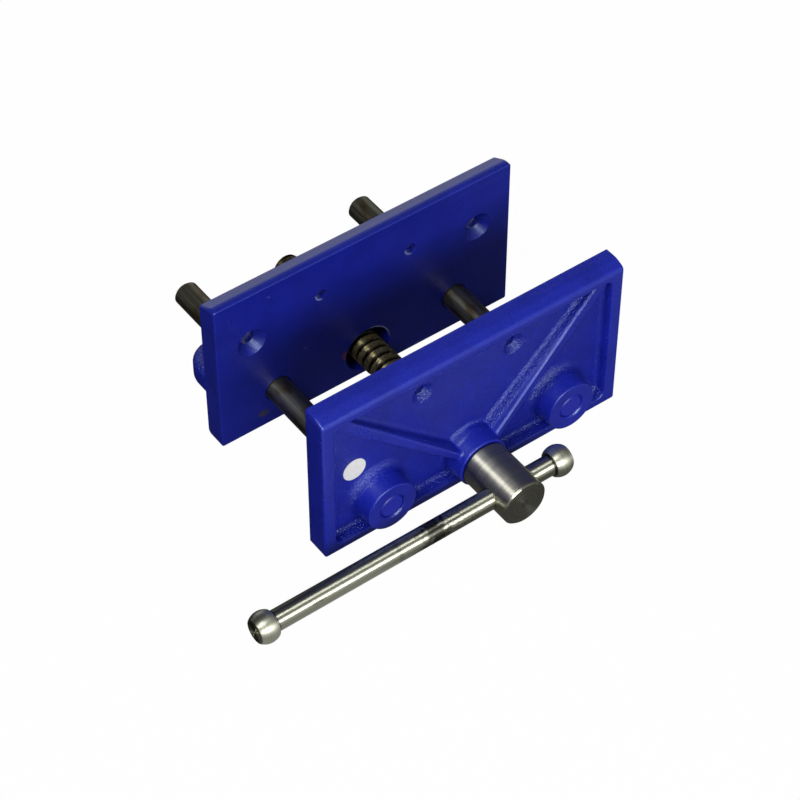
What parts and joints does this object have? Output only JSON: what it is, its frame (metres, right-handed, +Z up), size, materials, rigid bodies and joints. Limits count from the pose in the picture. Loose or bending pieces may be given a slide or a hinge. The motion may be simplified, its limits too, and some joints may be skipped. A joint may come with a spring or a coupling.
{
  "type": "woodworking vise",
  "caption": "Plain-screw woodworking vise with cast jaws, ribbed front jaw, guide rods, lead screw and sliding ball-ended handle, for screwing to a bench edge.",
  "frame": {"origin": "midway between the two bench screw holes, on the clamping face of the rear jaw", "axes": "+X right along the jaws as the user sees them, +Y from the user into the bench, along the screw, +Z up"},
  "size_m": [0.2198, 0.1972, 0.0868],
  "materials": {
    "blue_enamel": "glossy blue enamel over sand-cast iron",
    "rod_steel": "dark ground steel, lightly oiled",
    "screw_steel": "turned steel under grease",
    "bright_steel": "turned steel, oiled",
    "nut_iron": "machined cast iron",
    "pin_steel": "hardened steel",
    "sticker_paper": "coated white paper"
  },
  "bodies": {
    "rear": {"rear_jaw": "blue_enamel", "lead_nut": "nut_iron", "lead_nut_screw": "pin_steel"},
    "front": {"front_jaw": "blue_enamel", "guide_rod_left": "rod_steel", "guide_rod_right": "rod_steel", "guide_rod_pin_left": "pin_steel", "guide_rod_pin_right": "pin_steel", "inspection_sticker": "sticker_paper"},
    "screw": {"lead_screw": "screw_steel", "screw_head": "bright_steel", "screw_head_pin": "pin_steel", "retaining_washer": "pin_steel", "retaining_collar": "screw_steel", "retaining_collar_pin": "pin_steel"},
    "handle": {"handle_bar": "bright_steel", "handle_knob_left": "bright_steel", "handle_knob_right": "bright_steel"}
  },
  "joints": [
    {"name": "jaw_slide", "type": "slide", "parent": "rear", "child": "front", "axis": [0, 1, 0], "range_m": [-0.044, 0.0695]},
    {"name": "screw_turn", "type": "hinge", "parent": "front", "child": "screw", "pos_m": [0, -0.0892, -0.0426], "axis": [0, 1, 0], "range_deg": [-3169, 5005]},
    {"name": "handle_slide", "type": "slide", "parent": "screw", "child": "handle", "axis": [1, 0, 0], "range_m": [-0.0112, 0.1158]}
  ],
  "couplings": [
    {"joint": "screw_turn", "follows": "jaw_slide", "rad_per_m": 1256.6}
  ]
}
